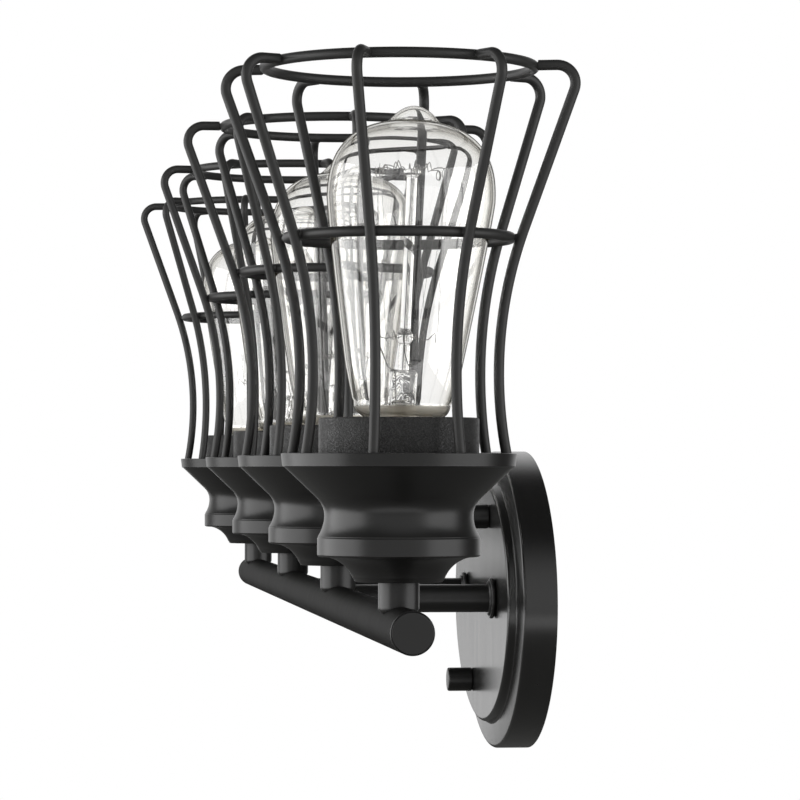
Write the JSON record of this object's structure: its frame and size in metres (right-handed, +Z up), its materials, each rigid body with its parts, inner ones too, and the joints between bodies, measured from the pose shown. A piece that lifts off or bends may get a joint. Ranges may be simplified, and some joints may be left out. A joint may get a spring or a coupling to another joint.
{
  "type": "wall vanity light",
  "caption": "Black bar vanity light on a stepped oval backplate: flared wire cages over turned cups, clear bulbs.",
  "frame": {"origin": "on the wall plane, straight behind the middle of the bar's axis; the plate's middle is 2.2 mm lower", "axes": "X along the bar, +Y into the wall, +Z up"},
  "size_m": [0.8537, 0.17, 0.287],
  "materials": {
    "satin_black": "satin",
    "textured_black": "fine textured powder coat",
    "zinc_steel": "zinc plated",
    "ground_green": "gloss",
    "wire_insulation": "satin",
    "brass": "plain rolled sheet",
    "socket_plastic": "moulded phenolic",
    "cap_metal": "rolled sheet",
    "clear_glass": "clear",
    "filament_wire": "drawn wire"
  },
  "bodies": {
    "wall_bracket": {"mounting_bracket": "zinc_steel", "bracket_studs": "zinc_steel", "stud_nuts": "zinc_steel", "ground_screw": "ground_green"},
    "fixture": {"backplate": "satin_black", "arm_left": "satin_black", "arm_right": "satin_black", "arm_collars": "satin_black", "bar_tube": "satin_black", "bar_end_caps": "satin_black", "cup_stems": "satin_black", "cup_1": "satin_black", "cage_wires_1": "satin_black", "cage_top_ring_1": "satin_black", "cage_mid_ring_1": "satin_black", "cup_2": "satin_black", "cage_wires_2": "satin_black", "cage_top_ring_2": "satin_black", "cage_mid_ring_2": "satin_black", "cup_3": "satin_black", "cage_wires_3": "satin_black", "cage_top_ring_3": "satin_black", "cage_mid_ring_3": "satin_black", "cup_4": "satin_black", "cage_wires_4": "satin_black", "cage_top_ring_4": "satin_black", "cage_mid_ring_4": "satin_black", "arm_nuts": "zinc_steel", "lamp_nipples": "zinc_steel", "nipple_nuts": "zinc_steel", "lead_wires": "wire_insulation", "screw_shells": "brass", "socket_contacts": "brass", "socket_cover_1": "textured_black", "socket_cover_2": "textured_black", "socket_cover_3": "textured_black", "socket_cover_4": "textured_black", "socket_1": "socket_plastic", "socket_2": "socket_plastic", "socket_3": "socket_plastic", "socket_4": "socket_plastic"},
    "bulb_1": {"bulb_glass_1": "clear_glass", "bulb_cap_1": "cap_metal", "bulb_stem_1": "clear_glass", "bulb_filament_1": "filament_wire"},
    "bulb_2": {"bulb_glass_2": "clear_glass", "bulb_cap_2": "cap_metal", "bulb_stem_2": "clear_glass", "bulb_filament_2": "filament_wire"},
    "bulb_3": {"bulb_glass_3": "clear_glass", "bulb_cap_3": "cap_metal", "bulb_stem_3": "clear_glass", "bulb_filament_3": "filament_wire"},
    "bulb_4": {"bulb_glass_4": "clear_glass", "bulb_cap_4": "cap_metal", "bulb_stem_4": "clear_glass", "bulb_filament_4": "filament_wire"},
    "nut_upper": {"cap_nut_upper": "satin_black"},
    "nut_lower": {"cap_nut_lower": "satin_black"}
  },
  "joints": [
    {"name": "fixture_off", "type": "slide", "parent": "wall_bracket", "child": "fixture", "axis": [0, -1, 0], "range_m": [0, 0.05]},
    {"name": "bulb_1_out", "type": "slide", "parent": "fixture", "child": "bulb_1", "axis": [0, 0, 1], "range_m": [0, 0.17]},
    {"name": "bulb_2_out", "type": "slide", "parent": "fixture", "child": "bulb_2", "axis": [0, 0, 1], "range_m": [0, 0.17]},
    {"name": "bulb_3_out", "type": "slide", "parent": "fixture", "child": "bulb_3", "axis": [0, 0, 1], "range_m": [0, 0.17]},
    {"name": "bulb_4_out", "type": "slide", "parent": "fixture", "child": "bulb_4", "axis": [0, 0, 1], "range_m": [0, 0.17]},
    {"name": "nut_upper_off", "type": "slide", "parent": "fixture", "child": "nut_upper", "axis": [0, -1, 0], "range_m": [0, 0.16]},
    {"name": "nut_lower_off", "type": "slide", "parent": "fixture", "child": "nut_lower", "axis": [0, -1, 0], "range_m": [0, 0.16]}
  ]
}
